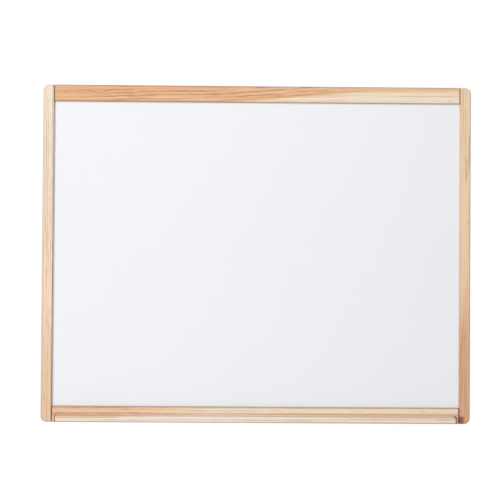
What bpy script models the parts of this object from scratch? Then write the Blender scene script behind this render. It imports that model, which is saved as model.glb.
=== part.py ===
"""A small wall whiteboard. A white-coated steel sheet on a fibreboard core sits in the grooves of a softwood
frame whose rails are dowelled between full-height stiles. A marker ledge is screwed to the bottom rail from
behind, and one sawtooth hanger and two rubber bumpers meet the wall.

X runs to the right as seen from the front, Y runs towards the wall and Z runs up. The origin is on the wall,
at the middle of the hanger's bar."""

import math

import bmesh
import bpy
from mathutils import Matrix, Vector

# Panel: a 24 by 18 inch blank in three layers
PANEL_WIDTH = 0.609
PANEL_HEIGHT = 0.4580
PANEL_COVER = 0.0045
SHEET_THICKNESS = 0.0004
CORE_THICKNESS = 0.0060
BACKING_THICKNESS = 0.0006

# Frame members
STILE_WIDTH = 0.016
TOP_RAIL_HEIGHT = 0.024
BOTTOM_RAIL_HEIGHT = 0.0236
FRAME_DEPTH = 0.020
FRONT_LIP = 0.004
CORNER_RADIUS = 0.0085
OUTER_ARRIS = 0.0025
ARRIS = 0.0013

# Marker ledge
LEDGE_HEIGHT = 0.0098
LEDGE_RISE = 0.0019
LEDGE_DEPTH = 0.014
LEDGE_END_INSET = 0.0054
PEN_GROOVE_RADIUS = 0.0066
PEN_GROOVE_DEPTH = 0.0020

# Dowels, two in each corner joint
DOWEL_DIAMETER = 0.005
DOWEL_IN_STILE = 0.010
DOWEL_IN_RAIL = 0.015
DOWEL_LAND = 0.0022
DOWEL_CHAMFER = 0.0006

# Countersunk screws that hold the ledge from behind
LEDGE_SCREWS = 4
SCREW_DIAMETER = 0.0030
SCREW_HEAD_DIAMETER = 0.0060
SCREW_HEAD_SINK = 0.0003
SCREW_BITE = 0.009
SCREW_TIP = 0.003
SCREW_END_DISTANCE = 0.034
RECESS_SPAN = 0.0034
RECESS_WIDTH = 0.0008
RECESS_DEPTH = 0.0012

# Sawtooth hanger and its nails
WALL_STANDOFF = 0.003
HANGER_DROP = 0.011
HANGER_LENGTH = 0.046
HANGER_HEIGHT = 0.010
HANGER_STEEL = 0.0009
HANGER_TAB = 0.0075
HANGER_JOGGLE = 0.0022
HANGER_CORNER = 0.0015
TOOTH_PITCH = 0.0026
TOOTH_DEPTH = 0.0012
NAIL_DIAMETER = 0.0016
NAIL_HEAD_DIAMETER = 0.0040
NAIL_HEAD_HEIGHT = 0.0009
NAIL_LENGTH = 0.013
NAIL_TIP = 0.002

# Bumpers at the foot
BUMPER_DIAMETER = 0.012
BUMPER_INSET = 0.012
BUMPER_ARRIS = 0.0005

# Clearances
GAP = 0.0003
GROOVE_SLACK = 0.0005
THROUGH = 0.002

# What follows from the sizes above
opening_width = PANEL_WIDTH - 2 * PANEL_COVER
opening_height = PANEL_HEIGHT - 2 * PANEL_COVER
half_opening = opening_width / 2
half_width = half_opening + STILE_WIDTH
top = HANGER_DROP
opening_top = top - TOP_RAIL_HEIGHT
opening_bottom = opening_top - opening_height
bottom = opening_bottom - BOTTOM_RAIL_HEIGHT
back = -WALL_STANDOFF
front = back - FRAME_DEPTH
groove_front = front + FRONT_LIP
sheet_front = groove_front + GAP
core_front = sheet_front + SHEET_THICKNESS + GAP
backing_front = core_front + CORE_THICKNESS + GAP
groove_back = backing_front + BACKING_THICKNESS + GAP
groove_depth = PANEL_COVER + GROOVE_SLACK
panel_middle = (opening_top + opening_bottom) / 2
ledge_low = bottom + LEDGE_RISE
ledge_high = ledge_low + LEDGE_HEIGHT
ledge_middle = (ledge_low + ledge_high) / 2

CORNER_SEGMENTS = 8
ARRIS_SEGMENTS = 3
HANGER_CORNER_SEGMENTS = 3
BUMPER_ARRIS_SEGMENTS = 2
ROUND_STEPS = 20
BUMPER_STEPS = 32
PEN_GROOVE_STEPS = 48
DOME_STEPS = 5
TO_WALL = (-math.pi / 2, 0, 0)
SHARP_ANGLE = math.radians(40)


# Scene and materials

def clear_scene():
    for old in list(bpy.data.objects):
        bpy.data.objects.remove(old, do_unlink=True)


def new_collection(name):
    collection = bpy.data.collections.new(name)
    bpy.context.scene.collection.children.link(collection)
    return collection


def finish(name, colour, roughness, metallic=0.0):
    material = bpy.data.materials.new(name)
    material.use_nodes = True
    shader = material.node_tree.nodes["Principled BSDF"]
    shader.inputs["Base Color"].default_value = (*colour, 1.0)
    shader.inputs["Roughness"].default_value = roughness
    shader.inputs["Metallic"].default_value = metallic
    return material


# Shapes

def add_object(name, mesh, material, location=(0, 0, 0), rotation=(0, 0, 0)):
    """A finished part of the whiteboard."""
    part = bpy.data.objects.new(name, mesh)
    part.location = location
    part.rotation_euler = rotation
    mesh.materials.clear()
    mesh.materials.append(material)
    parts.objects.link(part)
    return part


def add_cutter(name, mesh, location=(0, 0, 0), rotation=(0, 0, 0)):
    """A shape that only cuts others."""
    cutter = bpy.data.objects.new(name, mesh)
    cutter.location = location
    cutter.rotation_euler = rotation
    cutter.hide_render = True
    cutter.display_type = "WIRE"
    cutters.objects.link(cutter)
    return cutter


def mesh_from(bm, name):
    bmesh.ops.recalc_face_normals(bm, faces=bm.faces)
    mesh = bpy.data.meshes.new(name)
    bm.to_mesh(mesh)
    bm.free()
    return mesh


def box_bmesh(size):
    bm = bmesh.new()
    bmesh.ops.create_cube(bm, size=1.0)
    bmesh.ops.scale(bm, vec=size, verts=bm.verts)
    return bm


def rod_bmesh(radius, length, segments=ROUND_STEPS):
    """A cylinder along Z about the origin."""
    bm = bmesh.new()
    bmesh.ops.create_cone(
        bm, cap_ends=True, segments=segments, radius1=radius, radius2=radius, depth=length
    )
    return bm


def between(low, high):
    """The size and the middle of the box from low to high."""
    low, high = Vector(low), Vector(high)
    return high - low, (high + low) / 2


def cut(part, *tools):
    for tool in tools:
        boolean = part.modifiers.new(tool.name, "BOOLEAN")
        boolean.operation = "DIFFERENCE"
        boolean.solver = "EXACT"
        boolean.object = tool


def round_over(part, width, segments=ARRIS_SEGMENTS):
    """Rounds the edges that carry a bevel weight; a weight of 1 takes the full width."""
    bevel = part.modifiers.new("arrises", "BEVEL")
    bevel.limit_method = "WEIGHT"
    bevel.width = width
    bevel.segments = segments


def weigh_edges(bm, weight):
    """Gives each sharp edge the bevel weight that the function weight(middle of the edge) returns."""
    layer = bm.edges.layers.float.new("bevel_weight_edge")
    for edge in bm.edges:
        if edge.calc_face_angle(0.0) > SHARP_ANGLE:
            edge[layer] = weight((edge.verts[0].co + edge.verts[1].co) / 2)


def turned_mesh(name, profile):
    """The open profile of a turned piece, as (radius, height) from the top of its axis to the bottom."""
    bm = bmesh.new()
    points = [bm.verts.new((radius, 0, height)) for radius, height in profile]
    for first, second in zip(points, points[1:]):
        bm.edges.new((first, second))
    mesh = bpy.data.meshes.new(name)
    bm.to_mesh(mesh)
    bm.free()
    return mesh


def turn(part):
    """Turns an open profile about the part's own Z."""
    screw = part.modifiers.new("turned", "SCREW")
    screw.axis = "Z"
    screw.steps = ROUND_STEPS
    screw.render_steps = ROUND_STEPS
    screw.use_merge_vertices = True
    screw.merge_threshold = 0.00001
    screw.use_smooth_shade = True
    return part


# Frame members

def groove_cutter():
    """One block, the panel and its slack, that ploughs the groove in all four members."""
    size, middle = between(
        (-half_opening - groove_depth, groove_front, opening_bottom - groove_depth),
        (half_opening + groove_depth, groove_back, opening_top + groove_depth),
    )
    return add_cutter("panel_groove", mesh_from(box_bmesh(size), "panel_groove"), middle)


def stile_mesh(size):
    """A left stile about its own middle: round outer corners, and a broad arris on its outer side."""
    bm = box_bmesh(size)
    corners = [
        edge for edge in bm.edges
        if all(v.co.x < 0 for v in edge.verts) and edge.verts[0].co.z == edge.verts[1].co.z
    ]
    radius = min(CORNER_RADIUS, size.x - OUTER_ARRIS)
    bmesh.ops.bevel(
        bm, geom=corners, offset=radius, offset_type="OFFSET",
        segments=CORNER_SEGMENTS, profile=0.5, affect="EDGES",
    )
    inner = size.x / 2 - GAP
    weigh_edges(bm, lambda middle: ARRIS / OUTER_ARRIS if middle.x > inner else 1.0)
    return bm


def add_stile(name, side, material, groove, joint_holes):
    """side is -1 for the left stile and 1 for the right one, which is its mirror image."""
    size, middle = between(
        (-half_width, front, bottom),
        (-half_opening, back, top),
    )
    bm = stile_mesh(size)
    if side > 0:
        bmesh.ops.transform(bm, matrix=Matrix.Scale(-1, 4, (1, 0, 0)), verts=bm.verts)
    stile = add_object(name, mesh_from(bm, name), material, (-side * middle.x, middle.y, middle.z))
    round_over(stile, OUTER_ARRIS)
    cut(stile, groove, *joint_holes)
    return stile


def add_rail(name, low, high, material, *tools):
    """A rail runs between the stiles and stops a hair short of each."""
    end = half_opening - GAP
    size, middle = between((-end, front, low), (end, back, high))
    bm = box_bmesh(size)
    weigh_edges(bm, lambda edge_middle: 1.0)
    rail = add_object(name, mesh_from(bm, name), material, middle)
    round_over(rail, ARRIS)
    cut(rail, *tools)
    return rail


# Dowels

def dowel_places():
    """Each dowel's name, side and height. A land of wood is left outside it and beside the groove."""
    clear = DOWEL_LAND + DOWEL_DIAMETER / 2
    heights = {
        "top": (top - clear, opening_top + groove_depth + clear),
        "bottom": (bottom + clear, opening_bottom - groove_depth - clear),
    }
    for side_name, side in (("left", -1), ("right", 1)):
        for level, (outer, inner) in heights.items():
            yield f"{level}_{side_name}_outer_dowel", level, side, outer
            yield f"{level}_{side_name}_inner_dowel", level, side, inner


def add_dowels(material):
    """The dowels lie along X across each joint; their blind holes are longer and wider by the gap."""
    bm = rod_bmesh(DOWEL_DIAMETER / 2, DOWEL_IN_STILE + DOWEL_IN_RAIL)
    rims = [edge for edge in bm.edges if edge.verts[0].co.z == edge.verts[1].co.z]
    bmesh.ops.bevel(bm, geom=rims, offset=DOWEL_CHAMFER, segments=1, affect="EDGES")
    dowel = mesh_from(bm, "dowel")
    hole = mesh_from(
        rod_bmesh(DOWEL_DIAMETER / 2 + GAP, DOWEL_IN_STILE + DOWEL_IN_RAIL + 2 * GAP), "dowel_hole"
    )
    middle = half_opening + (DOWEL_IN_STILE - DOWEL_IN_RAIL) / 2
    holes = {}
    for name, level, side, height in dowel_places():
        place = (side * middle, (front + back) / 2, height)
        along_x = (0, math.pi / 2, 0)
        add_object(name, dowel, material, place, along_x)
        holes.setdefault((level, side), []).append(add_cutter(name + "_hole", hole, place, along_x))
    return holes


# Panel

def add_layer(name, front_face, thickness, material):
    size, middle = between(
        (-PANEL_WIDTH / 2, front_face, panel_middle - PANEL_HEIGHT / 2),
        (PANEL_WIDTH / 2, front_face + thickness, panel_middle + PANEL_HEIGHT / 2),
    )
    return add_object(name, mesh_from(box_bmesh(size), name), material, middle)


# Marker ledge and its screws

def screw_profile(grow=0.0):
    """A countersunk screw, head up, with its head's flat at height 0. grow widens it into its hole."""
    radius = SCREW_DIAMETER / 2 + grow
    head = SCREW_HEAD_DIAMETER / 2 + grow
    end = -screw_length() - grow
    return [(0, grow), (head, grow), (head, 0), (radius, radius - head), (radius, end + SCREW_TIP), (0, end)]


def screw_length():
    """From the head's flat, sunk in the rail's back, through the rail and into the ledge."""
    return FRAME_DEPTH - SCREW_HEAD_SINK + GAP + SCREW_BITE


def screw_hole_profile():
    """The screw's hole: the grown screw, carried out through the rail's back over the head."""
    profile = screw_profile(GAP)
    mouth = SCREW_HEAD_SINK + THROUGH
    return [(0, mouth), (profile[1][0], mouth), *profile[2:]]


def screw_places():
    """The screws are spread evenly between the two that stand near the ledge's ends."""
    reach = half_opening - SCREW_END_DISTANCE
    for number in range(LEDGE_SCREWS):
        yield (-reach + 2 * reach * number / max(LEDGE_SCREWS - 1, 1), back - SCREW_HEAD_SINK, ledge_middle)


def add_ledge_screws(material):
    """Four screws with cross recesses. Returns the cutters of their holes."""
    shank = turned_mesh("ledge_screw", screw_profile())
    hole = turned_mesh("ledge_screw_hole", screw_hole_profile())
    arm = mesh_from(box_bmesh(Vector((RECESS_SPAN, RECESS_WIDTH, 2 * RECESS_DEPTH))), "recess_arm")
    holes = []
    for number, place in enumerate(screw_places(), start=1):
        name = f"ledge_screw_{number}"
        screw = turn(add_object(name, shank, material, place, TO_WALL))
        level_arm = add_cutter(name + "_recess_level", arm, place, TO_WALL)
        upright_arm = add_cutter(name + "_recess_upright", arm, place, (-math.pi / 2, math.pi / 2, 0))
        cut(screw, level_arm, upright_arm)
        holes.append(turn(add_cutter(name + "_hole", hole, place, TO_WALL)))
    return holes


def pen_groove_cutter(ledge_front):
    """A rod along the middle of the ledge's top, which dips PEN_GROOVE_DEPTH into it."""
    bm = rod_bmesh(PEN_GROOVE_RADIUS, opening_width, segments=PEN_GROOVE_STEPS)
    place = (
        0,
        ledge_front + LEDGE_DEPTH / 2,
        ledge_high - PEN_GROOVE_DEPTH + PEN_GROOVE_RADIUS,
    )
    return add_cutter("pen_groove", mesh_from(bm, "pen_groove"), place, (0, math.pi / 2, 0))


def add_ledge(material, screw_holes):
    """A strip on the bottom rail's front, a little above its underside, with a shallow pen groove along the
    strip's top."""
    end = half_opening - LEDGE_END_INSET
    ledge_back = front - GAP
    ledge_front = ledge_back - LEDGE_DEPTH
    size, middle = between((-end, ledge_front, ledge_low), (end, ledge_back, ledge_high))
    bm = box_bmesh(size)
    weigh_edges(bm, lambda edge_middle: 1.0 if edge_middle.y < size.y / 2 - GAP else 0.0)
    ledge = add_object("marker_ledge", mesh_from(bm, "marker_ledge"), material, middle)
    round_over(ledge, ARRIS)
    cut(ledge, pen_groove_cutter(ledge_front), *screw_holes)
    return ledge


# Hanger and nails

def nail_profile(grow=0.0):
    """A round-headed nail, head up, with the underside of its head at height 0."""
    radius = NAIL_DIAMETER / 2 + grow
    head = NAIL_HEAD_DIAMETER / 2
    dome = [
        (head * math.sin(angle), NAIL_HEAD_HEIGHT * math.cos(angle))
        for angle in (math.pi / 2 * step / DOME_STEPS for step in range(DOME_STEPS + 1))
    ]
    end = -NAIL_LENGTH - grow
    return [*dome, (radius, 0), (radius, end + NAIL_TIP), (0, end)]


def nail_hole_mesh():
    """A straight hole through the hanger's tab and on into the rail, a gap wider and deeper than the nail."""
    return mesh_from(rod_bmesh(NAIL_DIAMETER / 2 + GAP, 2 * (NAIL_LENGTH + GAP)), "nail_hole")


def add_hanger(material):
    """A stamped strip: two tabs flat on the rail, and a bar joggled out to the wall with a toothed edge."""
    tab_y = back + GAP + HANGER_STEEL / 2
    bar_y = -HANGER_STEEL / 2
    half = HANGER_LENGTH / 2
    path = [
        (half - HANGER_TAB - HANGER_JOGGLE, bar_y),
        (half - HANGER_TAB, tab_y),
        (half, tab_y),
    ]
    path = [(-x, y) for x, y in reversed(path)] + path
    bm = bmesh.new()
    lower = [bm.verts.new((x, y, -HANGER_HEIGHT / 2)) for x, y in path]
    edges = [bm.edges.new(pair) for pair in zip(lower, lower[1:])]
    raised = bmesh.ops.extrude_edge_only(bm, edges=edges)["geom"]
    raised = [item for item in raised if isinstance(item, bmesh.types.BMVert)]
    bmesh.ops.translate(bm, vec=(0, 0, HANGER_HEIGHT), verts=raised)
    corners = [vert for vert in bm.verts if abs(vert.co.x) > half - GAP]
    bmesh.ops.bevel(
        bm, geom=corners, offset=HANGER_CORNER, segments=HANGER_CORNER_SEGMENTS, profile=0.5, affect="VERTICES",
    )
    hanger = add_object("hanger", mesh_from(bm, "hanger"), material)
    solidify = hanger.modifiers.new("steel", "SOLIDIFY")
    solidify.thickness = HANGER_STEEL
    solidify.offset = 0.0
    solidify.use_even_offset = True
    return hanger


def tooth_cutter():
    """A row of square bars on edge, whose upper halves leave the teeth in the bar's lower edge."""
    bar = HANGER_LENGTH - 2 * (HANGER_TAB + HANGER_JOGGLE)
    count = int((bar - 2 * TOOTH_DEPTH) / TOOTH_PITCH)
    bm = bmesh.new()
    for number in range(count):
        x = (number - (count - 1) / 2) * TOOTH_PITCH
        bmesh.ops.create_cone(
            bm, cap_ends=True, segments=4, radius1=TOOTH_DEPTH, radius2=TOOTH_DEPTH,
            depth=2 * WALL_STANDOFF, matrix=Matrix.Translation((x, 0, 0)),
        )
    return add_cutter("hanger_teeth", mesh_from(bm, "hanger_teeth"), (0, 0, -HANGER_HEIGHT / 2), TO_WALL)


def add_hanger_nails(material):
    """One nail in each tab of the hanger. Returns the cutters of their holes."""
    nail = turned_mesh("hanger_nail", nail_profile())
    hole = nail_hole_mesh()
    holes = []
    for side_name, side in (("left", -1), ("right", 1)):
        place = (side * (HANGER_LENGTH - HANGER_TAB) / 2, back + HANGER_STEEL + 2 * GAP, 0)
        turn(add_object(f"{side_name}_hanger_nail", nail, material, place, TO_WALL))
        holes.append(add_cutter(f"{side_name}_nail_hole", hole, place, TO_WALL))
    return holes


# Bumpers

def add_bumpers(material):
    """Discs on the bottom rail's back, thick enough to reach the wall beside the hanger's bar."""
    thickness = WALL_STANDOFF - GAP
    bm = rod_bmesh(BUMPER_DIAMETER / 2, thickness, segments=BUMPER_STEPS)
    rim = [edge for edge in bm.edges if all(v.co.z > 0 for v in edge.verts)]
    bmesh.ops.bevel(
        bm, geom=rim, offset=BUMPER_ARRIS, segments=BUMPER_ARRIS_SEGMENTS, profile=0.5, affect="EDGES",
    )
    disc = mesh_from(bm, "bumper")
    height = (bottom + opening_bottom) / 2
    for side_name, side in (("left", -1), ("right", 1)):
        place = (side * (half_opening - BUMPER_INSET), -thickness / 2, height)
        add_object(f"{side_name}_bumper", disc, material, place, TO_WALL)


# Whiteboard

clear_scene()
parts = new_collection("whiteboard")
cutters = new_collection("whiteboard_cutters")

pale_softwood = finish("pale_softwood", (0.83, 0.66, 0.48), 0.45)
warm_softwood = finish("warm_softwood", (0.76, 0.50, 0.31), 0.45)
ledge_softwood = finish("ledge_softwood", (0.86, 0.70, 0.52), 0.45)
birch = finish("birch_dowel", (0.80, 0.64, 0.42), 0.6)
white_coat = finish("white_coat", (0.88, 0.89, 0.91), 0.12)
fibreboard = finish("fibreboard", (0.42, 0.28, 0.16), 0.8)
grey_backing = finish("grey_backing", (0.50, 0.50, 0.48), 0.7)
zinc_steel = finish("zinc_steel", (0.70, 0.70, 0.68), 0.3, 1.0)
brass_steel = finish("brass_steel", (0.75, 0.58, 0.28), 0.3, 1.0)
grey_rubber = finish("grey_rubber", (0.30, 0.30, 0.30), 0.7)

add_layer("writing_sheet", sheet_front, SHEET_THICKNESS, white_coat)
add_layer("panel_core", core_front, CORE_THICKNESS, fibreboard)
add_layer("backing_sheet", backing_front, BACKING_THICKNESS, grey_backing)

groove = groove_cutter()
dowel_holes = add_dowels(birch)
nail_holes = add_hanger_nails(brass_steel)
screw_holes = add_ledge_screws(zinc_steel)

add_stile("left_stile", -1, pale_softwood, groove, dowel_holes["top", -1] + dowel_holes["bottom", -1])
add_stile("right_stile", 1, warm_softwood, groove, dowel_holes["top", 1] + dowel_holes["bottom", 1])
add_rail(
    "top_rail", opening_top, top, warm_softwood,
    groove, *dowel_holes["top", -1], *dowel_holes["top", 1], *nail_holes,
)
add_rail(
    "bottom_rail", bottom, opening_bottom, warm_softwood,
    groove, *dowel_holes["bottom", -1], *dowel_holes["bottom", 1], *screw_holes,
)
add_ledge(ledge_softwood, screw_holes)
cut(add_hanger(zinc_steel), tooth_cutter(), *nail_holes)
add_bumpers(grey_rubber)
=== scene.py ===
import math

import bmesh
import bpy
from mathutils import Matrix, Vector


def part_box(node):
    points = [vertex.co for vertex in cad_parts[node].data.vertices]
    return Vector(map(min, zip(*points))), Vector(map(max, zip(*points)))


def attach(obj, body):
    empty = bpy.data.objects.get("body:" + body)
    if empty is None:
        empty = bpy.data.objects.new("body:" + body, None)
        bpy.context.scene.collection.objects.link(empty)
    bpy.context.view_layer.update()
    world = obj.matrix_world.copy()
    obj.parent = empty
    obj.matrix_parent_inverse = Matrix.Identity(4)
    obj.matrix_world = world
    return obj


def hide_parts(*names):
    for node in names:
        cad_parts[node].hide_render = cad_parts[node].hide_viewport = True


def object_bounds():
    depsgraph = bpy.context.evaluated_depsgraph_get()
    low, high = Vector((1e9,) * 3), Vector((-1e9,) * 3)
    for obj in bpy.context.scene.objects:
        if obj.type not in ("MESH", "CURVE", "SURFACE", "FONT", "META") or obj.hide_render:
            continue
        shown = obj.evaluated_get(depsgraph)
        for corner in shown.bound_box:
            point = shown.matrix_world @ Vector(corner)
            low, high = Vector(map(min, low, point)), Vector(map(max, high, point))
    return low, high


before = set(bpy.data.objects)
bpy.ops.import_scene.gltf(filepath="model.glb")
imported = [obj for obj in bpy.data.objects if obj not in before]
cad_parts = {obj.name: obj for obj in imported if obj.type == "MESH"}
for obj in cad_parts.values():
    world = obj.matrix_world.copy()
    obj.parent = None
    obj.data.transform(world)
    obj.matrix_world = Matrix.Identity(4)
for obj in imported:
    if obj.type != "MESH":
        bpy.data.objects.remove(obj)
cad_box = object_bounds()


# Writing sheet
# A thin steel sheet with a smooth white baked coating, which is what the markers write on. It is bonded to
# the core behind it, and its edges are hidden in the frame's grooves.

class Reading:
    """One output of a node. Python's operators on it add Math nodes to the same finish."""

    def __init__(self, coat, socket):
        self.coat = coat
        self.socket = socket

    def __add__(self, other):
        return self.coat.maths("ADD", self, other)

    def __radd__(self, other):
        return self.coat.maths("ADD", other, self)

    def __sub__(self, other):
        return self.coat.maths("SUBTRACT", self, other)

    def __rsub__(self, other):
        return self.coat.maths("SUBTRACT", other, self)

    def __mul__(self, other):
        return self.coat.maths("MULTIPLY", self, other)

    def __rmul__(self, other):
        return self.coat.maths("MULTIPLY", other, self)

    def __truediv__(self, other):
        return self.coat.maths("DIVIDE", self, other)

    def __pow__(self, other):
        return self.coat.maths("POWER", self, other)

    def __abs__(self):
        return self.coat.maths("ABSOLUTE", self)


class Finish:
    """A material on a Principled BSDF. node() adds every other node that it holds."""

    def __init__(self, name, **constants):
        self.material = bpy.data.materials.new(name)
        self.material.use_nodes = True
        self.tree = self.material.node_tree
        self.surface = self.tree.nodes["Principled BSDF"]
        for socket, value in constants.items():
            self.surface.inputs[socket.replace("_", " ")].default_value = value

    def node(self, kind, settings=None, sockets=None, output=0):
        """Adds a node, makes its settings first, then fills its sockets with values or readings."""
        made = self.tree.nodes.new(kind)
        for name, value in (settings or {}).items():
            if name == "stops":
                self.set_stops(made.color_ramp, value)
            else:
                setattr(made, name, value)
        for name, value in (sockets or {}).items():
            if isinstance(value, Reading):
                self.tree.links.new(value.socket, made.inputs[name])
            else:
                made.inputs[name].default_value = value
        return Reading(self, made.outputs[output])

    def maths(self, operation, *values):
        return self.node("ShaderNodeMath", {"operation": operation}, dict(enumerate(values)))

    def set_stops(self, ramp, stops):
        while len(ramp.elements) < len(stops):
            ramp.elements.new(1.0)
        for element, (position, level) in zip(ramp.elements, stops):
            element.position = position
            element.color = (level, level, level, 1.0)

    def ramp(self, value, *stops):
        """A grey curve through the stops, which are (value, level) with values from 0 to 1."""
        return self.node("ShaderNodeValToRGB", {"stops": stops}, {"Fac": value})

    def between(self, value, low, high):
        """0 below low, 1 above high and a soft step between them."""
        return self.node(
            "ShaderNodeMapRange", {"interpolation_type": "SMOOTHSTEP"},
            {"Value": value, "From Min": low, "From Max": high},
        )

    def place(self):
        """The point's x, y and z in metres."""
        point = self.node("ShaderNodeTexCoord", output="Object")
        split = self.node("ShaderNodeSeparateXYZ", None, {"Vector": point})
        outputs = split.socket.node.outputs
        return [Reading(self, outputs[axis]) for axis in "XYZ"]

    def noise(self, x, y, z, detail=2.0, roughness=0.5):
        """Noise with features about one unit across, at a point that may be stretched."""
        point = self.node("ShaderNodeCombineXYZ", None, {"X": x, "Y": y, "Z": z})
        return self.node(
            "ShaderNodeTexNoise", None,
            {"Vector": point, "Scale": 1.0, "Detail": detail, "Roughness": roughness}, "Fac",
        )

    def blend(self, amount, first, second):
        """From the first colour to the second. Each is a reading or three numbers."""
        made = self.tree.nodes.new("ShaderNodeMix")
        made.data_type = "RGBA"
        self.tree.links.new(amount.socket, made.inputs["Factor"])
        for socket, colour in ((made.inputs[6], first), (made.inputs[7], second)):
            if isinstance(colour, Reading):
                self.tree.links.new(colour.socket, socket)
            else:
                socket.default_value = (*colour, 1.0)
        return Reading(self, made.outputs[2])

    def feed(self, socket, reading):
        self.tree.links.new(reading.socket, self.surface.inputs[socket])

    def bump(self, height, distance, strength):
        """height runs from 0 to 1 over the distance in metres."""
        self.feed("Normal", self.node(
            "ShaderNodeBump", None, {"Height": height, "Distance": distance, "Strength": strength},
        ))


def corners(node):
    """The lowest and the highest corner of a CAD node's box."""
    return [Vector(corner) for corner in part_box(node)]


def deselect():
    if bpy.context.object and bpy.context.object.mode != "OBJECT":
        bpy.ops.object.mode_set(mode="OBJECT")
    bpy.ops.object.select_all(action="DESELECT")


def pick(piece):
    deselect()
    piece.select_set(True)
    bpy.context.view_layer.objects.active = piece


def settle(piece, name):
    """Names a new piece and puts its place into its mesh."""
    pick(piece)
    piece.name = name
    piece.data.name = name
    bpy.ops.object.transform_apply(location=True, rotation=True, scale=True)
    return piece


def block(name, low, high):
    """A box between its lowest and its highest corner, ready to be shaped."""
    deselect()
    low, high = Vector(low), Vector(high)
    bpy.ops.mesh.primitive_cube_add(size=1, location=(low + high) / 2, scale=high - low)
    return settle(bpy.context.object, name)


def shape(piece, kind, test, operator, **settings):
    """Selects the parts of a piece that pass the test in edit mode, and runs one operator on them."""
    pick(piece)
    bpy.ops.object.mode_set(mode="EDIT")
    bpy.ops.mesh.select_mode(type=kind)
    bpy.ops.mesh.select_all(action="DESELECT")
    cage = bmesh.from_edit_mesh(piece.data)
    for item in {"VERT": cage.verts, "EDGE": cage.edges, "FACE": cage.faces}[kind]:
        if test(item):
            item.select_set(True)
    bmesh.update_edit_mesh(piece.data)
    operator(**settings)
    bpy.ops.object.mode_set(mode="OBJECT")


def modify(piece, kind, **settings):
    """Adds a modifier with its settings and applies it."""
    pick(piece)
    made = piece.modifiers.new(kind.lower(), kind)
    for name, value in settings.items():
        setattr(made, name, value)
    bpy.ops.object.modifier_apply(modifier=made.name)


def dress(piece, finish, slot, *nodes):
    """A piece that stands for CAD nodes, in one finish. Flat faces shade flat up to their rounded edges."""
    piece.data.materials.clear()
    piece.data.materials.append(finish.material)
    pick(piece)
    bpy.ops.object.shade_smooth_by_angle(angle=math.radians(32))
    modify(piece, "WEIGHTED_NORMAL", keep_sharp=True)
    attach(piece, "root")
    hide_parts(*nodes)


def finish_node(name, finish):
    """A CAD node that keeps its shape and takes a better finish."""
    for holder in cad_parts[name].material_slots:
        holder.material = finish.material


SHEET_EDGE = 0.00012


def white_coating():
    coat = Finish("white_coating", Roughness=0.16, Coat_Weight=0.35, Coat_Roughness=0.06)
    x, y, z = coat.place()
    cloud = coat.noise(x * 5.0, y * 5.0, z * 5.0, detail=1.0)
    coat.feed("Base Color", coat.blend(cloud, (0.870, 0.890, 0.925), (0.895, 0.905, 0.930)))
    smear = coat.noise(x * 9.0, y * 9.0, z * 26.0, detail=3.0)
    coat.feed("Roughness", 0.13 + smear * 0.07)
    ripple = coat.noise(x * 90.0, y * 90.0, z * 90.0, detail=1.0)
    coat.bump(ripple, 0.00002, 0.35)
    return coat


sheet_low, sheet_high = corners("writing_sheet")
writing_surface = block("writing_surface", sheet_low, sheet_high)
modify(writing_surface, "BEVEL", width=SHEET_EDGE, segments=2)
dress(writing_surface, white_coating(), "white_coat", "writing_sheet")


# Core and backing
# The core is brown fibreboard and the backing a thin grey board, bonded to it against warping. The core is
# closed in by the frame, and the backing shows from behind.

def pressed_fibres():
    board = Finish("pressed_fibres", Roughness=0.85)
    x, y, z = board.place()
    fibre = board.noise(x * 900.0, y * 900.0, z * 500.0, detail=4.0)
    board.feed("Base Color", board.blend(fibre, (0.25, 0.15, 0.08), (0.47, 0.32, 0.19)))
    board.bump(fibre, 0.0002, 0.5)
    return board


def grey_board():
    board = Finish("grey_board", Roughness=0.8)
    x, y, z = board.place()
    fleck = board.noise(x * 650.0, y * 650.0, z * 650.0, detail=5.0, roughness=0.7)
    cloud = board.noise(x * 14.0, y * 14.0, z * 9.0, detail=3.0)
    felt = board.noise(x * 160.0, y * 160.0, z * 2600.0, detail=2.0)
    tone = board.between(fleck * 0.55 + cloud * 0.3 + felt * 0.15, 0.36, 0.64)
    board.feed("Base Color", board.blend(tone, (0.36, 0.355, 0.34), (0.52, 0.515, 0.50)))
    board.feed("Roughness", 0.72 + fleck * 0.16)
    board.bump(fleck * 0.6 + felt * 0.4, 0.00012, 0.6)
    return board


finish_node("panel_core", pressed_fibres())
finish_node("backing_sheet", grey_board())


# Left stile
# A full-height upright of clear-varnished softwood, pale and cut on the quarter, so its growth rings run as
# fine upright lines. Its outer corners are rounded and its arrises eased before the frame is glued up.

# How far corners and arrises are rounded, how deep the painted shade line at the sheet runs, the panel's
# slack in its groove, and the hair of room round what is glued or driven in.
CORNER_RADIUS = 0.0085
OUTER_ARRIS = 0.0025
ARRIS = 0.0013
LIP_DEPTH = 0.0035
GROOVE_SLACK = 0.0005
HAIR = 0.0003


def shown(red, green, blue):
    """The linear colour of bare wood that shows as this 8-bit colour. The varnish's sheen adds the rest."""
    sheen = 0.035
    return tuple(max(0.01, ((level / 255 + 0.055) / 1.055) ** 2.4 - sheen) for level in (red, green, blue))


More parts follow.
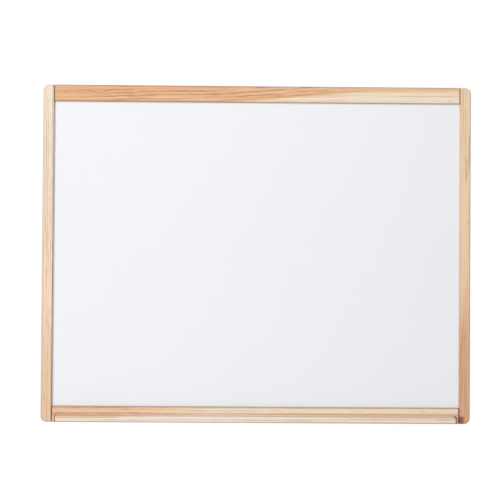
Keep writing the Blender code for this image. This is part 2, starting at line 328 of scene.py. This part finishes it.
class Softwood(Finish):
    """Varnished softwood. Growth rings lie round a pith beside or behind the piece, so they run on over its
    faces and ends. along, across and deep are a point's place along the grain, over the front and inwards,
    from the middle of the piece."""

    def __init__(self, name, node, upright):
        super().__init__(name, Coat_Weight=0.15, Coat_Roughness=0.3, Specular_IOR_Level=0.35)
        low, high = corners(node)
        self.middle, half = (low + high) / 2, (high - low) / 2
        x, y, z = self.place()
        self.world_deep = y
        x, y, z = x - self.middle.x, y - self.middle.y, z - self.middle.z
        self.along, self.across, self.deep = (z, x, y) if upright else (x, z, y)
        self.half_length, self.half_height = (half.z, half.x) if upright else (half.x, half.z)
        self.half_depth = half.y

    def stretched(self, along, across, detail=2.0, seed=0.0):
        """Noise with the given number of features a metre along the grain and across it."""
        return self.noise(
            self.along * along + seed, self.across * across + seed, self.deep * across, detail=detail,
        )

    def grow(self, pith, climb, dive, spacing, wander, knots=(), seed=0.0):
        """Finds the growth rings. pith is the ring centre's place across and deep. climb is a reading of
        how far the grain has climbed at each place along, and dive how far it sinks for each metre along.
        spacing is the rings' pitch and wander how far they stray. A knot is its place along, its place
        across and how far it pushes the rings away."""
        drift = self.stretched(5.0, 26.0, seed=seed) - 0.5
        self.level = self.across - climb
        across = self.level - pith[0] + drift * wander
        deep = self.deep - pith[1] - self.along * dive
        radius = (across * across + deep * deep) ** 0.5
        for along, height, reach in knots:
            away = ((self.along - along) / 2.4) ** 2 + (self.across - height) ** 2
            radius = radius + reach * 0.9 * self.maths("EXPONENT", away * (-1 / reach ** 2))
        count = radius / spacing
        ring = self.maths("FLOOR", count)
        white = {"noise_dimensions": "1D"}
        chance = self.node("ShaderNodeTexWhiteNoise", white, {"W": ring + seed})
        self.tint = self.node("ShaderNodeTexWhiteNoise", white, {"W": ring + seed + 0.5})
        self.latewood = self.ramp(
            count - ring, (0.0, 0.5), (0.08, 0.0), (0.45, 0.10), (0.80, 0.70), (0.92, 1.0), (1.0, 0.6),
        ) * (0.25 + chance * 0.75)
        self.fibre = self.stretched(22.0, 1500.0, detail=3.0, seed=seed)
        self.streak = self.stretched(2.5, 420.0, seed=seed + 4.0)
        self.vein = self.stretched(7.0, 900.0, seed=seed + 8.0)
        self.fleck = self.stretched(55.0, 520.0, seed=seed + 12.0)

    def colour(self, early, late, tinted, contrast=1.0):
        """The wood's colour: early wood, which differs from ring to ring, and the darker late wood."""
        soft = self.blend(self.between(self.tint + (self.streak - 0.5) * 0.8, 0.15, 0.95), early, tinted)
        amount = self.latewood * 0.9 + (self.streak - 0.5) * 1.7 + (self.vein - 0.5) * 1.2
        amount = amount + (self.fleck - 0.5) * 1.1 + (self.fibre - 0.5) * 0.6
        return self.blend(self.between(amount, 0.0, 1.0) * contrast, soft, late)

    def within(self, value, low, high, soft):
        """1 from low to high, with a soft step at each."""
        past_low = self.between(value, low - soft, low + soft)
        past_high = self.between(value, high - soft, high + soft)
        return past_low * (1 - past_high)

    def band(self, low, high, start, end, soft=0.0008):
        """1 on a band that follows the grain between two levels and two places, with frayed edges."""
        height = self.level + (self.streak - 0.5) * 0.002
        run = self.along + (self.streak - 0.5) * 0.03
        return self.within(height, low, high, soft) * self.within(run, start, end, 0.01)

    def knot(self, colour, along, across, radius, tone):
        """A pin knot: a dark eye with a fainter ring round it, drawn out a little along the grain."""
        away = (((self.along - along) / 1.5) ** 2 + (self.across - across) ** 2) ** 0.5
        eye = 1 - self.between(away, radius * 0.2, radius * 0.6)
        ring = self.between(away, radius * 0.8, radius) * (1 - self.between(away, radius, radius * 1.35))
        return self.blend(eye * 0.6 + ring * 0.35, colour, tone)

    def edge_shade_and_end_grain(self, colour, arris, lip, end_grain_and_shade=0.0):
        """Painted shade on the arrises and on the lip where it meets the sheet, and end grain that drank the
        varnish, with painted shade at each end, as deep from each end as the last argument says. arris and
        lip are how strongly."""
        side = self.between(abs(self.across), self.half_height - 0.0018, self.half_height - 0.0006)
        face = self.between(abs(self.deep), self.half_depth - 0.0022, self.half_depth - 0.0008)
        colour = self.blend(side * face * arris, colour, shown(172, 138, 112))
        front, back = sheet_low.y, corners("backing_sheet")[1].y
        depth = self.between(self.world_deep, front - LIP_DEPTH, front - HAIR * 3)
        depth = depth * (1 - self.between(self.world_deep, back, back + HAIR * 2))
        flank = self.between(abs(self.across), self.half_height - 0.0009, self.half_height - 0.0003)
        colour = self.blend(depth * flank * lip, colour, shown(126, 84, 58))
        if end_grain_and_shade:
            start = self.half_length - end_grain_and_shade
            end = self.between(abs(self.along), start, start + end_grain_and_shade * 0.6)
            colour = self.blend(end * 0.85, colour, shown(122, 76, 50))
        return colour

    def varnish(self, colour):
        self.feed("Base Color", colour)
        self.feed("Roughness", 0.5 - self.latewood * 0.1 + (self.fibre - 0.5) * 0.12)
        self.bump(self.latewood * 0.5 + self.fibre * 0.5, 0.00008, 0.5)


def groove_tool():
    """The panel and its slack, as a block that ploughs the grooves."""
    slack = Vector((GROOVE_SLACK, HAIR, GROOVE_SLACK))
    return block("panel_groove", sheet_low - slack, corners("backing_sheet")[1] + slack)


def cut(piece, tool):
    """Takes a tool's shape out of a piece, and removes the tool."""
    modify(piece, "BOOLEAN", operation="DIFFERENCE", solver="EXACT", object=tool)
    bpy.data.objects.remove(tool, do_unlink=True)


def ease(piece, width, share):
    """Rounds every sharp edge; share(middle of the edge) is its part of the width."""
    cage = bmesh.new()
    cage.from_mesh(piece.data)
    layer = cage.edges.layers.float.new("bevel_weight_edge")
    for edge in cage.edges:
        if edge.calc_face_angle(0.0) > math.radians(40):
            edge[layer] = share((edge.verts[0].co + edge.verts[1].co) / 2)
    cage.to_mesh(piece.data)
    cage.free()
    modify(piece, "BEVEL", limit_method="WEIGHT", width=width, segments=6)


def dowel_hole(node):
    """A dowel's blind hole, a hair wider and longer than the dowel."""
    low, high = corners(node)
    deselect()
    bpy.ops.mesh.primitive_cylinder_add(
        vertices=48, radius=(high.z - low.z) / 2 + HAIR, depth=high.x - low.x + 2 * HAIR,
        location=(low + high) / 2, rotation=(0, math.pi / 2, 0),
    )
    return settle(bpy.context.object, "dowel_hole")


def bore_for_dowels(piece, word):
    """word is the part of the dowels' names that says which side or rail they are in."""
    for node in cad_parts:
        if node.endswith("_dowel") and word in node:
            cut(piece, dowel_hole(node))


def stile(node, name, side):
    """side is -1 on the left and 1 on the right."""
    low, high = corners(node)
    piece = block(name, low, high)
    outer, inner = (low.x, high.x) if side < 0 else (high.x, low.x)
    shape(
        piece, "EDGE",
        lambda edge: all(abs(v.co.x - outer) < HAIR for v in edge.verts)
        and abs(edge.verts[0].co.z - edge.verts[1].co.z) < HAIR,
        bpy.ops.mesh.bevel, offset=CORNER_RADIUS, segments=18, affect="EDGES",
    )
    ease(piece, OUTER_ARRIS, lambda at: ARRIS / OUTER_ARRIS if abs(at.x - inner) < HAIR else 1.0)
    cut(piece, groove_tool())
    bore_for_dowels(piece, "left" if side < 0 else "right")
    return piece


def pale_quarter_wood():
    wood = Softwood("pale_quarter_wood", "left_stile", upright=True)
    wood.grow(
        pith=(-0.085, 0.04), climb=wood.along * 0.004, dive=0.0, spacing=0.0023, wander=0.0022, seed=3.0,
    )
    head = wood.colour(shown(244, 230, 210), shown(202, 177, 150), shown(244, 223, 196), contrast=1.25)
    middle = wood.colour(shown(248, 226, 201), shown(202, 164, 132), shown(245, 213, 186), contrast=1.25)
    foot = wood.colour(shown(236, 206, 174), shown(186, 142, 106), shown(234, 192, 154))
    height = wood.along + (wood.streak - 0.5) * 0.16
    tone = wood.blend(wood.between(height, 0.16, 0.02), head, middle)
    tone = wood.blend(wood.between(height, -0.04, -0.20), tone, foot)
    outer = 1 - wood.between(wood.across + (wood.streak - 0.5) * 0.003, -0.0065, -0.0035)
    tone = wood.blend(outer * 0.55, tone, shown(228, 214, 196))
    wood.varnish(wood.edge_shade_and_end_grain(tone, arris=0.3, lip=0.75))
    return wood


left_upright = stile("left_stile", "left_upright", -1)
dress(left_upright, pale_quarter_wood(), "pale_softwood", "left_stile")


# Right stile
# The same upright from a warmer board cut on the flat, so its rings meet the front as long pointed flames.
# It has a few pin knots, and darkens towards its foot, where glue and dirt mark the joint. A painted
# shadow of the ledge lies on the wood beside it.

def flame_wood():
    wood = Softwood("flame_wood", "right_stile", upright=True)
    knots = (
        (0.170, 0.0062, 0.0016), (0.048, 0.0040, 0.0013),
        (-0.124, -0.0005, 0.0014), (-0.170, -0.0020, 0.0012),
    )
    wood.grow(
        pith=(-0.0031, 0.0055), climb=wood.along * 0.040, dive=-0.0107, spacing=0.0016, wander=0.0012,
        knots=knots, seed=11.0,
    )
    head = wood.colour(shown(244, 216, 186), shown(206, 162, 128), shown(240, 206, 172), contrast=0.85)
    middle = wood.colour(shown(243, 211, 180), shown(208, 162, 128), shown(239, 202, 168), contrast=0.5)
    foot = wood.colour(shown(228, 184, 150), shown(192, 136, 102), shown(222, 172, 134))
    height = wood.along + (wood.streak - 0.5) * 0.14
    tone = wood.blend(wood.between(height, 0.16, 0.02), head, middle)
    tone = wood.blend(wood.between(height, -0.03, -0.13), tone, foot)
    for along, across, radius in knots:
        tone = wood.knot(tone, along, across, radius, shown(158, 112, 84))
    # Painted shadow: the ledge end's shadow, painted reddish-brown on the stile's foot beside the ledge.
    above_ledge = wood.along - (corners("marker_ledge")[1].z - wood.middle.z)
    beside_ledge = 1 - wood.between(above_ledge, -0.0010, 0.0004)
    ledge_painted_shadow = beside_ledge * (1 - wood.between(wood.across, -0.0016, 0.0004))
    tone = wood.blend(ledge_painted_shadow * 0.75, tone, shown(166, 102, 82))
    tone = wood.edge_shade_and_end_grain(tone, arris=0.3, lip=0.7)
    joint_top = corners("bottom_rail")[1].z - wood.middle.z
    flank = 1 - wood.between(wood.across, 0.0002 - wood.half_height, 0.0009 - wood.half_height)
    glue_line = flank * (1 - wood.between(wood.along, joint_top - 0.0010, joint_top))
    wood.varnish(wood.blend(glue_line * 0.75, tone, shown(84, 48, 36)))
    return wood


right_upright = stile("right_stile", "right_upright", 1)
dress(right_upright, flame_wood(), "warm_softwood", "right_stile")


# Top rail
# It fits between the stiles on dowels. The board it was cut from straddles heartwood and sapwood: tan at
# the left and along the top, cream below towards the right.

def rail(node, name, word):
    piece = block(name, *corners(node))
    ease(piece, ARRIS, lambda at: 1.0)
    cut(piece, groove_tool())
    bore_for_dowels(piece, word)
    return piece


def turned(name, at, profile, sides=48):
    """A round piece about an axis along Y, at the place's x and z. profile is (radius, y) end to end."""
    (radius, y), *steps = profile
    deselect()
    bpy.ops.mesh.primitive_circle_add(
        vertices=sides, radius=radius, fill_type="NGON",
        location=(at.x, y, at.z), rotation=(math.pi / 2, 0, 0),
    )
    piece = settle(bpy.context.object, name)
    bpy.ops.object.mode_set(mode="EDIT")
    bpy.ops.mesh.select_mode(type="FACE")
    bpy.ops.mesh.select_all(action="SELECT")
    for next_radius, next_y in steps:
        bpy.ops.mesh.extrude_region_move(TRANSFORM_OT_translate={"value": (0, next_y - y, 0)})
        grow = next_radius / radius
        bpy.ops.transform.resize(value=(grow, 1, grow), center_override=(at.x, next_y, at.z))
        radius, y = next_radius, next_y
    bpy.ops.mesh.select_all(action="SELECT")
    bpy.ops.mesh.normals_make_consistent(inside=False)
    bpy.ops.object.mode_set(mode="OBJECT")
    return piece


NAIL_RADIUS = 0.0008


def nail_hole(node):
    """A hanger nail's hole in the rail's back, a hair wider and deeper than the nail."""
    low, high = corners(node)
    hole = NAIL_RADIUS + HAIR
    return turned("nail_hole", (low + high) / 2, ((hole, high.y), (hole, low.y - HAIR)))


def heart_and_sap_wood():
    wood = Softwood("heart_and_sap_wood", "top_rail", upright=False)
    knots = ((-0.2326, 0.0015, 0.0046),)
    bend = wood.between(wood.along, -0.08, 0.22) * 0.012 - wood.between(wood.along, 0.15, 0.30) * 0.0025
    wood.grow(
        pith=(-0.075, 0.03), climb=wood.along * 0.03 + bend, dive=0.0, spacing=0.0046, wander=0.0040,
        knots=knots, seed=7.0,
    )
    heart = wood.colour(shown(234, 192, 154), shown(178, 128, 90), shown(232, 178, 138))
    # Streaks in the heartwood, which grows paler towards the right and where it meets the sapwood.
    heart = wood.blend(wood.band(0.0022, 0.0038, -0.31, -0.215) * 0.6, heart, shown(205, 168, 112))
    heart = wood.blend(wood.band(-0.0060, -0.0012, -0.31, -0.215) * 0.7, heart, shown(230, 160, 138))
    heart = wood.blend(wood.band(-0.0043, -0.0014, -0.214, -0.170) * 0.8, heart, shown(216, 150, 92))
    heart = wood.blend(wood.band(-0.0050, -0.0038, -0.160, -0.110) * 0.7, heart, shown(184, 128, 96))
    heart = wood.blend(wood.band(-0.0096, -0.0070, -0.06, 0.18) * 0.6, heart, shown(212, 158, 112))
    heart = wood.blend(wood.between(wood.along, 0.06, 0.20) * 0.6, heart, shown(234, 205, 168))
    pale = 1 - wood.between(wood.level, -0.0110, -0.0082)
    heart = wood.blend(pale * 0.75, heart, shown(230, 200, 162))
    sap = wood.colour(shown(246, 230, 206), shown(216, 190, 160), shown(248, 220, 194), contrast=0.85)
    sapwood = 1 - wood.between(wood.level + (wood.streak - 0.5) * 0.006, -0.0136, -0.0106)
    tone = wood.blend(sapwood, heart, sap)
    for along, across, reach in knots:
        tone = wood.knot(tone, along, across, reach * 0.7, shown(206, 160, 112))
    tone = wood.knot(tone, 0.2847, -0.0085, 0.0013, shown(150, 108, 78))
    # Painted shade: a darker grey-brown line along the top edge.
    upper_edge = wood.between(wood.across, wood.half_height - 0.0016, wood.half_height - 0.0004)
    tone = wood.blend(upper_edge * 0.55, tone, shown(192, 166, 138))
    wood.varnish(wood.edge_shade_and_end_grain(tone, arris=0.6, lip=0.9, end_grain_and_shade=0.0014))
    return wood


head_rail = rail("top_rail", "head_rail", "top")
hanger_nails = ["left_hanger_nail", "right_hanger_nail"]
for nail in hanger_nails:
    cut(head_rail, nail_hole(nail))
dress(head_rail, heart_and_sap_wood(), "warm_softwood", "top_rail")


# Bottom rail
# A straight-grained rail with a reddish band of heartwood along its middle. Four countersunk holes in its
# back take the ledge's screws.

def banded_wood():
    wood = Softwood("banded_wood", "bottom_rail", upright=False)
    wood.grow(
        pith=(0.07, 0.05), climb=wood.along * 0.001, dive=0.0, spacing=0.0034, wander=0.0016, seed=19.0,
    )
    left = wood.colour(shown(246, 208, 176), shown(188, 142, 106), shown(240, 194, 162))
    right = wood.colour(shown(252, 238, 218), shown(208, 184, 158), shown(251, 228, 198))
    tone = wood.blend(wood.between(wood.along + (wood.streak - 0.5) * 0.2, -0.18, -0.05), left, right)
    # Pale and reddish streaks along the grain, and painted shade: a grey line at the top, a brown one at the
    # ledge.
    tone = wood.blend(wood.band(0.0046, 0.0062, -0.29, -0.10) * 0.8, tone, shown(250, 220, 188))
    # Painted shade: a grey line along the rail's top edge, on its right part.
    tone = wood.blend(wood.band(0.0092, 0.0112, -0.10, 0.31) * 0.5, tone, shown(196, 170, 142))
    tone = wood.blend(wood.band(0.0002, 0.0032, 0.03, 0.31) * 0.6, tone, shown(234, 192, 164))
    tone = wood.blend(wood.band(0.0019, 0.0027, -0.31, 0.31, soft=0.0005) * 0.7, tone, shown(206, 152, 126))
    # Painted shade: a brown line on the rail just above the top of the ledge.
    tone = wood.blend(wood.band(-0.0012, 0.0002, -0.31, 0.31) * 0.6, tone, shown(196, 156, 126))
    wood.varnish(wood.edge_shade_and_end_grain(tone, arris=0.7, lip=0.85, end_grain_and_shade=0.0014))
    return wood


SCREW_SHANK_RADIUS = 0.0015
SCREW_TIP = 0.003


def screw_hole(node):
    """A screw's countersunk hole through the rail and into the ledge, a hair wider than the screw."""
    low, high = corners(node)
    head = (high.x - low.x) / 2 + HAIR
    shank = SCREW_SHANK_RADIUS + HAIR
    mouth = corners("bottom_rail")[1].y + HAIR
    return turned("screw_hole", (low + high) / 2, (
        (head, mouth), (head, high.y), (shank, high.y - head + shank),
        (shank, low.y + SCREW_TIP), (HAIR, low.y - HAIR),
    ))


foot_rail = rail("bottom_rail", "foot_rail", "bottom")
screws = [f"ledge_screw_{number}" for number in (1, 2, 3, 4)]
for screw in screws:
    cut(foot_rail, screw_hole(screw))
dress(foot_rail, banded_wood(), "warm_softwood", "bottom_rail")


# Marker ledge
# A strip of pale sapwood along the foot of the bottom rail, fixed from behind. Its arrises are eased and a
# shallow groove along its top keeps a marker from rolling off.

PEN_GROOVE_RADIUS = 0.0066
PEN_GROOVE_DEPTH = 0.0020
PEN_CUTTER_LENGTH = 0.7


def ledge():
    low, high = corners("marker_ledge")
    piece = block("pen_ledge", low, high)
    ease(piece, ARRIS, lambda at: 0.0 if abs(at.y - high.y) < HAIR else 1.0)
    deselect()
    bpy.ops.mesh.primitive_cylinder_add(
        vertices=96, radius=PEN_GROOVE_RADIUS, depth=PEN_CUTTER_LENGTH, rotation=(0, math.pi / 2, 0),
        location=(0, (low.y + high.y) / 2, high.z - PEN_GROOVE_DEPTH + PEN_GROOVE_RADIUS),
    )
    cut(piece, settle(bpy.context.object, "pen_groove"))
    for screw in screws:
        cut(piece, screw_hole(screw))
    return piece


def sapwood():
    wood = Softwood("sapwood", "marker_ledge", upright=False)
    wood.grow(
        pith=(-0.05, 0.06), climb=wood.along * 0.008, dive=0.0, spacing=0.0038, wander=0.0030, seed=27.0,
    )
    left = wood.colour(shown(248, 236, 220), shown(222, 200, 176), shown(246, 228, 208))
    right = wood.colour(shown(246, 226, 204), shown(216, 186, 160), shown(244, 216, 190))
    tone = wood.blend(wood.between(wood.along + (wood.streak - 0.5) * 0.2, -0.06, 0.20), left, right)
    # Two darker streaks near the left end, and a dark brown mark at the upper corner of the right end.
    tone = wood.blend(wood.band(0.0036, 0.0090, -0.32, -0.20) * 0.6, tone, shown(228, 188, 152))
    tone = wood.blend(wood.band(0.0026, 0.0042, -0.29, -0.20) * 0.6, tone, shown(204, 156, 116))
    dark_corner_mark = wood.between(wood.along, 0.2895, 0.2920) * wood.between(wood.across, 0.0022, 0.0036)
    tone = wood.blend(dark_corner_mark * 0.8, tone, shown(124, 84, 60))
    wood.varnish(wood.edge_shade_and_end_grain(tone, arris=0.6, lip=0.85, end_grain_and_shade=0.0028))
    return wood


pen_ledge = ledge()
dress(pen_ledge, sapwood(), "ledge_softwood", "marker_ledge")


# Dowels
# Two birch pins across each corner joint. They are glued into blind holes in the stile and the rail when
# the frame is put together, and the wood closes them in.

def turned_birch():
    wood = Finish("turned_birch", Roughness=0.6)
    x, y, z = wood.place()
    fibre = wood.noise(x * 60.0, y * 2200.0, z * 2200.0, detail=3.0)
    wood.feed("Base Color", wood.blend(fibre, (0.66, 0.49, 0.30), (0.84, 0.69, 0.47)))
    wood.bump(fibre, 0.00006, 0.5)
    return wood


birch = turned_birch()
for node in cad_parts:
    if node.endswith("_dowel"):
        finish_node(node, birch)


# Ledge screws
# Zinc-plated steel wood screws with a wound thread, a countersunk head and a tapered cross recess. They are
# driven from behind through the bottom rail into the ledge, until their heads sink into its back.

def plated_steel():
    zinc = Finish("plated_steel", Metallic=1.0, Roughness=0.3)
    x, y, z = zinc.place()
    cloud = zinc.noise(x * 420.0, y * 420.0, z * 420.0, detail=4.0)
    zinc.feed("Base Color", zinc.blend(cloud, (0.56, 0.57, 0.57), (0.76, 0.76, 0.74)))
    zinc.feed("Roughness", 0.24 + cloud * 0.2)
    brush = zinc.noise(x * 300.0, y * 300.0, z * 6000.0, detail=2.0)
    zinc.bump(brush, 0.00003, 0.4)
    return zinc


SCREW_CORE_RADIUS = 0.0011
SCREW_POINT_RADIUS = 0.0001
SCREW_LIP = 0.00015
THREAD_PITCH = 0.0012
THREAD_LENGTH = 0.018
RECESS_SPAN = 0.0034
RECESS_WIDTH = 0.0008
RECESS_DEPTH = 0.0012
RECESS_TAPER = 0.6


def screw_thread(at, start):
    """A sharp ridge wound right-handed about an axis along Y, from start towards the wall."""
    ridge_radius = THREAD_PITCH / 3
    deselect()
    bpy.ops.mesh.primitive_circle_add(vertices=3, radius=ridge_radius, rotation=(0, 0, -math.pi / 2))
    ridge = settle(bpy.context.object, "screw_thread")
    outwards = (SCREW_SHANK_RADIUS - ridge_radius, 0, 0)
    shape(ridge, "VERT", lambda vertex: True, bpy.ops.transform.translate, value=outwards)
    modify(
        ridge, "SCREW", axis="Y", screw_offset=THREAD_PITCH, iterations=int(THREAD_LENGTH / THREAD_PITCH),
        steps=24, render_steps=24,
    )
    shape(ridge, "VERT", lambda vertex: True, bpy.ops.mesh.fill_holes, sides=3)
    shape(ridge, "FACE", lambda face: True, bpy.ops.mesh.normals_make_consistent, inside=False)
    ridge.location = (at.x, start, at.z)
    return settle(ridge, "screw_thread")


def recess_arm(at, top, size):
    """One arm of the cross recess, narrower at its bottom."""
    middle, half = Vector((at.x, top, at.z)), Vector(size) / 2
    tool = block("recess_arm", middle - half, middle + half)
    shape(
        tool, "FACE", lambda face: face.normal.y < -0.9,
        bpy.ops.transform.resize, value=(RECESS_TAPER, 1, RECESS_TAPER), center_override=middle,
    )
    return tool


def countersunk_screw(node, name):
    low, high = corners(node)
    at, top, head = (low + high) / 2, high.y, (high.x - low.x) / 2
    shank, core = SCREW_SHANK_RADIUS, SCREW_CORE_RADIUS
    thread_start = low.y + SCREW_TIP
    thread_end = thread_start + THREAD_LENGTH
    piece = turned(name, at, (
        (head - SCREW_LIP, top), (head, top - SCREW_LIP), (shank, top - head + shank),
        (shank, thread_end + shank - core), (core, thread_end), (core, thread_start),
        (SCREW_POINT_RADIUS, low.y),
    ))
    ridge = screw_thread(at, thread_start)
    modify(piece, "BOOLEAN", operation="UNION", solver="EXACT", object=ridge)
    bpy.data.objects.remove(ridge, do_unlink=True)
    cut(piece, recess_arm(at, top, (RECESS_SPAN, 2 * RECESS_DEPTH, RECESS_WIDTH)))
    cut(piece, recess_arm(at, top, (RECESS_WIDTH, 2 * RECESS_DEPTH, RECESS_SPAN)))
    return piece


zinc = plated_steel()
for number, screw in enumerate(screws, start=1):
    dress(countersunk_screw(screw, f"countersunk_screw_{number}"), zinc, "zinc_steel", screw)


# Hanger and nails
# A stamped strip of zinc-plated steel: its two tabs lie on the top rail under round-headed brass-plated
# nails, and its toothed bar stands off the wood, so that a nail in the wall catches in one of the teeth.

def brass_plate():
    brass = Finish("brass_plate", Metallic=1.0, Roughness=0.28)
    x, y, z = brass.place()
    cloud = brass.noise(x * 700.0, y * 700.0, z * 700.0, detail=3.0)
    brass.feed("Base Color", brass.blend(cloud, (0.62, 0.44, 0.18), (0.80, 0.62, 0.30)))
    brass.feed("Roughness", 0.22 + cloud * 0.2)
    return brass


HANGER_EDGE = 0.00012
NAIL_HEAD_HEIGHT = 0.0009
NAIL_TIP = 0.002
NAIL_POINT_RADIUS = 0.0001
DOME_STEPS = 8
DOME_CROWN = 0.25


def stamped_hanger():
    """The hanger's own shape, with the edges that the press leaves slightly round."""
    piece = bpy.data.objects.new("stamped_hanger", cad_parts["hanger"].data.copy())
    bpy.context.scene.collection.objects.link(piece)
    shape(piece, "VERT", lambda vertex: True, bpy.ops.mesh.remove_doubles, threshold=0.000005)
    shape(piece, "FACE", lambda face: True, bpy.ops.mesh.dissolve_limited, angle_limit=math.radians(1))
    modify(
        piece, "BEVEL", width=HANGER_EDGE, segments=3, limit_method="ANGLE", angle_limit=math.radians(30),
    )
    return piece


def round_headed_nail(node, name):
    """A nail whose domed head starts from a small flat crown, DOME_CROWN of a step across."""
    low, high = corners(node)
    head, seat = (high.x - low.x) / 2, high.y - NAIL_HEAD_HEIGHT
    step_angle = math.pi / 2 / (DOME_STEPS + DOME_CROWN)
    angles = [step_angle * (step + DOME_CROWN) for step in range(DOME_STEPS + 1)]
    dome = [(head * math.sin(angle), seat + NAIL_HEAD_HEIGHT * math.cos(angle)) for angle in angles]
    shank = ((NAIL_RADIUS, seat), (NAIL_RADIUS, low.y + NAIL_TIP), (NAIL_POINT_RADIUS, low.y))
    return turned(name, (low + high) / 2, (*dome, *shank))


dress(stamped_hanger(), zinc, "zinc_steel", "hanger")
brass = brass_plate()
for nail in hanger_nails:
    dress(round_headed_nail(nail, nail.replace("hanger", "round_headed")), brass, "brass_steel", nail)


# Bumpers
# Discs of grey rubber with a rounded rim, stuck to the back of the bottom rail near its ends. They hold the
# foot of the board off the wall.

def grey_rubber():
    rubber = Finish("grey_rubber", Roughness=0.75)
    x, y, z = rubber.place()
    grain = rubber.noise(x * 1800.0, y * 1800.0, z * 1800.0, detail=2.0)
    rubber.feed("Base Color", rubber.blend(grain, (0.20, 0.20, 0.20), (0.31, 0.31, 0.31)))
    rubber.bump(grain, 0.0001, 0.4)
    return rubber


BUMPER_RIM = 0.0008
BUMPER_EDGE = 0.0002
RIM_STEPS = 6


def rubber_disc(node, name):
    """A disc whose rim is rounded on the wall's side."""
    low, high = corners(node)
    radius = (high.x - low.x) / 2
    core, seat = radius - BUMPER_RIM, high.y - BUMPER_RIM
    angles = [math.pi / 2 * step / RIM_STEPS for step in range(RIM_STEPS + 1)]
    rim = [(core + BUMPER_RIM * math.sin(angle), seat + BUMPER_RIM * math.cos(angle)) for angle in angles]
    foot = ((radius, low.y + BUMPER_EDGE), (radius - BUMPER_EDGE, low.y))
    return turned(name, (low + high) / 2, (*rim, *foot), sides=96)


rubber = grey_rubber()
for side in ("left", "right"):
    dress(rubber_disc(f"{side}_bumper", f"{side}_rubber_disc"), rubber, "grey_rubber", f"{side}_bumper")


# Floor
# A plain pale floor well below the board, which catches its shadow. Towards its edge it glows as white as
# the surround, so that no horizon shows.

FLOOR_DROP = 0.55
FLOOR_RADIUS = 2.4
GLOW_START = 1.0
GLOW_END = 2.3


def pale_floor():
    coat = Finish("pale_floor", Base_Color=(0.86, 0.86, 0.86, 1.0), Roughness=0.9)
    x, y, z = coat.place()
    edge = coat.between((x * x + y * y) ** 0.5, GLOW_START, GLOW_END)
    rays = coat.node("ShaderNodeLightPath").socket.node.outputs
    kinds = ("Camera", "Glossy", "Transmission")
    seen, shiny, clear = (Reading(coat, rays[f"Is {kind} Ray"]) for kind in kinds)
    seen = coat.maths("MAXIMUM", seen, coat.maths("MAXIMUM", shiny, clear))
    glow = coat.node("ShaderNodeEmission", None, {"Color": (1.0, 1.0, 1.0, 1.0), "Strength": 1.0})
    lit = Reading(coat, coat.surface.outputs[0])
    mixed = coat.node("ShaderNodeMixShader", None, {0: edge * seen, 1: lit, 2: glow})
    coat.tree.links.new(mixed.socket, coat.tree.nodes["Material Output"].inputs["Surface"])
    return coat


deselect()
bpy.ops.mesh.primitive_circle_add(
    vertices=128, radius=FLOOR_RADIUS, fill_type="NGON", location=(0, 0, cad_box[0].z - FLOOR_DROP),
)
floor = settle(bpy.context.object, "floor")
floor.data.materials.append(pale_floor().material)


# Light
# Two soft lamps stand in front, one at the left and one higher, and a broad one behind lights the back. An
# even white surround fills the shadows, and shows at full white to the camera and in reflections.

SURROUND_FILL = 0.27

board_middle = (cad_box[0] + cad_box[1]) / 2


def soft_lamp(name, towards, distance, size, power):
    lamp = bpy.data.lights.new(name, "AREA")
    lamp.size = size
    lamp.energy = power
    holder = bpy.data.objects.new(name, lamp)
    offset = Vector(towards).normalized() * distance
    holder.location = board_middle + offset
    holder.rotation_euler = offset.to_track_quat("Z", "Y").to_euler()
    bpy.context.scene.collection.objects.link(holder)


soft_lamp("key_lamp", (-0.70, -1.0, 0.10), distance=4.7, size=0.5, power=104)
soft_lamp("upper_lamp", (-0.10, -1.0, 0.62), distance=1.9, size=0.5, power=8.6)
soft_lamp("back_lamp", (0.6, 1.0, 0.7), distance=7.0, size=2.4, power=200)

surround = bpy.data.worlds.new("surround")
bpy.context.scene.world = surround
surround.use_nodes = True
nodes, links = surround.node_tree.nodes, surround.node_tree.links
backdrop = nodes["Background"]
backdrop.inputs["Color"].default_value = (1.0, 1.0, 1.0, 1.0)
path = nodes.new("ShaderNodeLightPath")
seen = path.outputs["Is Camera Ray"]
for ray in ("Is Glossy Ray", "Is Transmission Ray"):
    either = nodes.new("ShaderNodeMath")
    either.operation = "MAXIMUM"
    links.new(seen, either.inputs[0])
    links.new(path.outputs[ray], either.inputs[1])
    seen = either.outputs[0]
level = nodes.new("ShaderNodeMapRange")
level.inputs["To Min"].default_value = SURROUND_FILL
links.new(seen, level.inputs["Value"])
links.new(level.outputs[0], backdrop.inputs["Strength"])


# Camera
# It stands two metres off and nearly square to the board: about a degree to the left and below, and rolled
# by less than half a degree, as the photograph is.

CAMERA_DISTANCE = 2.0
CAMERA_AZIMUTH = math.radians(-0.661)
CAMERA_ELEVATION = math.radians(-1.047)
CAMERA_ROLL = math.radians(0.386)
CAMERA_LENS = 97.69
CAMERA_AIM = Vector((-0.0097, -0.023, -0.2311))

away = Vector((
    math.sin(CAMERA_AZIMUTH) * math.cos(CAMERA_ELEVATION),
    -math.cos(CAMERA_AZIMUTH) * math.cos(CAMERA_ELEVATION),
    math.sin(CAMERA_ELEVATION),
))
camera_data = bpy.data.cameras.new("camera")
camera_data.lens = CAMERA_LENS
camera = bpy.data.objects.new("camera", camera_data)
facing = away.to_track_quat("Z", "Y").to_matrix().to_4x4()
camera.matrix_world = (
    Matrix.Translation(CAMERA_AIM + away * CAMERA_DISTANCE) @ facing @ Matrix.Rotation(CAMERA_ROLL, 4, "Z")
)
bpy.context.scene.collection.objects.link(camera)
bpy.context.scene.camera = camera
bpy.context.scene.view_settings.view_transform = "Standard"

deselect()
